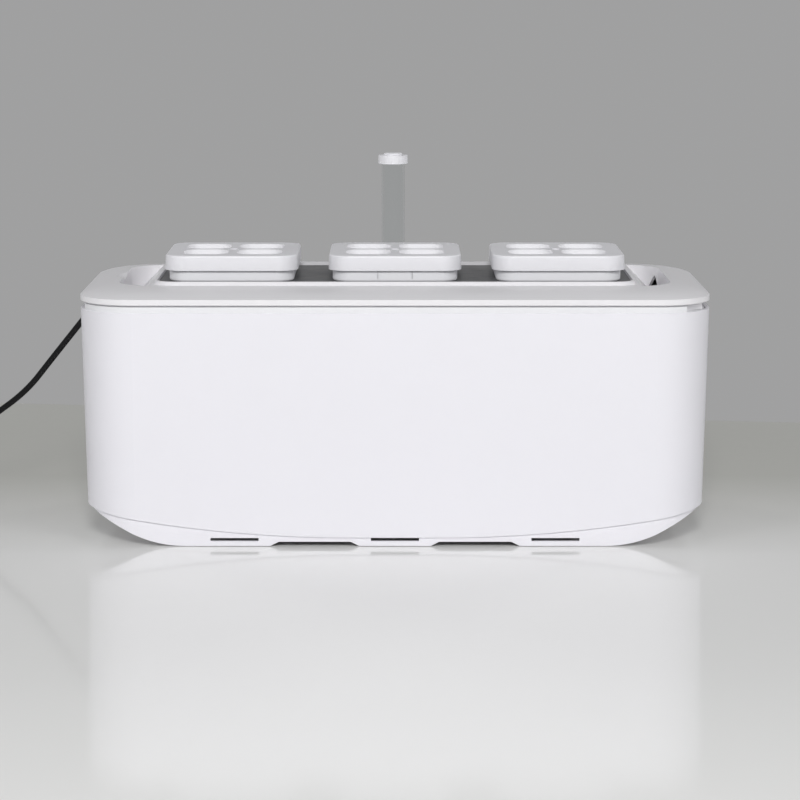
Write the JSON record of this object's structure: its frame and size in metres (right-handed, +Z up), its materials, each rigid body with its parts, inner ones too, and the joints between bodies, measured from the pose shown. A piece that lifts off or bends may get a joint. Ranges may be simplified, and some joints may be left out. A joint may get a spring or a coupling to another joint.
{
  "type": "hydroponic planter box",
  "caption": "White tabletop hydroponic planter box with lift-off lid, planting baskets under four-hole covers, clear float gauge, circulation pump and power lead.",
  "frame": {"origin": "on the table under the middle of the box", "axes": "+X along the length to the viewer's right, -Y faces the viewer, +Z up"},
  "size_m": [0.666, 0.2063, 0.2558],
  "materials": {
    "shell_white": "gloss",
    "lid_white": "satin",
    "cover_white": "satin",
    "basket_white": "satin",
    "tank_white": "satin",
    "collar_white": "matt",
    "deck_dark": "matt",
    "clear_tube": "clear",
    "float_white": "matt",
    "tip_red": "gloss",
    "rubber_black": "matt",
    "black_plastic": "satin",
    "plug_black": "satin",
    "tongue_white": "matt",
    "cord_black": "satin",
    "tie_black": "satin",
    "magnet": "matt",
    "filter_foam": "open foam",
    "sponge": "open foam",
    "steel": "bright"
  },
  "bodies": {
    "box": {"outer_shell": "shell_white", "base_plinth": "shell_white", "plinth_screws": "steel", "rubber_feet": "rubber_black", "water_tank": "tank_white", "pump_housing": "black_plastic", "pump_shaft": "steel", "pump_inlet": "black_plastic", "pump_filter": "filter_foam", "pump_outlet": "black_plastic", "suction_cups": "rubber_black", "pump_cable": "cord_black", "cable_grommet": "rubber_black", "power_cord": "cord_black", "cord_coil": "cord_black", "cord_tie": "tie_black", "plug_relief": "plug_black", "plug_body": "plug_black", "plug_shell": "steel", "plug_tongue": "tongue_white"},
    "lid": {"lid_frame": "lid_white", "deck_panel": "deck_dark", "gauge_tube": "clear_tube", "gauge_collar": "collar_white"},
    "gauge_top": {"gauge_cap": "cover_white"},
    "float": {"level_float": "float_white", "float_rod": "float_white", "float_tip": "tip_red"},
    "impeller": {"pump_impeller": "black_plastic", "rotor_magnet": "magnet"},
    "left_basket": {"basket_left": "basket_white"},
    "left_cover": {"cover_left": "cover_white", "sponges_left": "sponge"},
    "centre_basket": {"basket_centre": "basket_white", "basket_gate": "basket_white"},
    "centre_cover": {"cover_centre": "cover_white", "sponges_centre": "sponge"},
    "right_basket": {"basket_right": "basket_white"},
    "right_cover": {"cover_right": "cover_white", "sponges_right": "sponge"}
  },
  "joints": [
    {"name": "lid_lift", "type": "slide", "parent": "box", "child": "lid", "axis": [0, 0, 1], "range_m": [0, 0.15]},
    {"name": "gauge_cap_pull", "type": "slide", "parent": "lid", "child": "gauge_top", "axis": [0, 0, 1], "range_m": [0, 0.015]},
    {"name": "float_rise", "type": "slide", "parent": "lid", "child": "float", "axis": [0, 0, 1], "range_m": [0, 0.07]},
    {"name": "impeller_spin", "type": "hinge", "parent": "box", "child": "impeller", "pos_m": [-0.17, 0.02, 0.0585], "axis": [0, 1, 0], "continuous": true},
    {"name": "left_basket_lift", "type": "slide", "parent": "lid", "child": "left_basket", "axis": [0, 0, 1], "range_m": [0, 0.085]},
    {"name": "left_cover_lift", "type": "slide", "parent": "left_basket", "child": "left_cover", "axis": [0, 0, 1], "range_m": [0, 0.03]},
    {"name": "centre_basket_lift", "type": "slide", "parent": "lid", "child": "centre_basket", "axis": [0, 0, 1], "range_m": [0, 0.085]},
    {"name": "centre_cover_lift", "type": "slide", "parent": "centre_basket", "child": "centre_cover", "axis": [0, 0, 1], "range_m": [0, 0.03]},
    {"name": "right_basket_lift", "type": "slide", "parent": "lid", "child": "right_basket", "axis": [0, 0, 1], "range_m": [0, 0.085]},
    {"name": "right_cover_lift", "type": "slide", "parent": "right_basket", "child": "right_cover", "axis": [0, 0, 1], "range_m": [0, 0.03]}
  ]
}
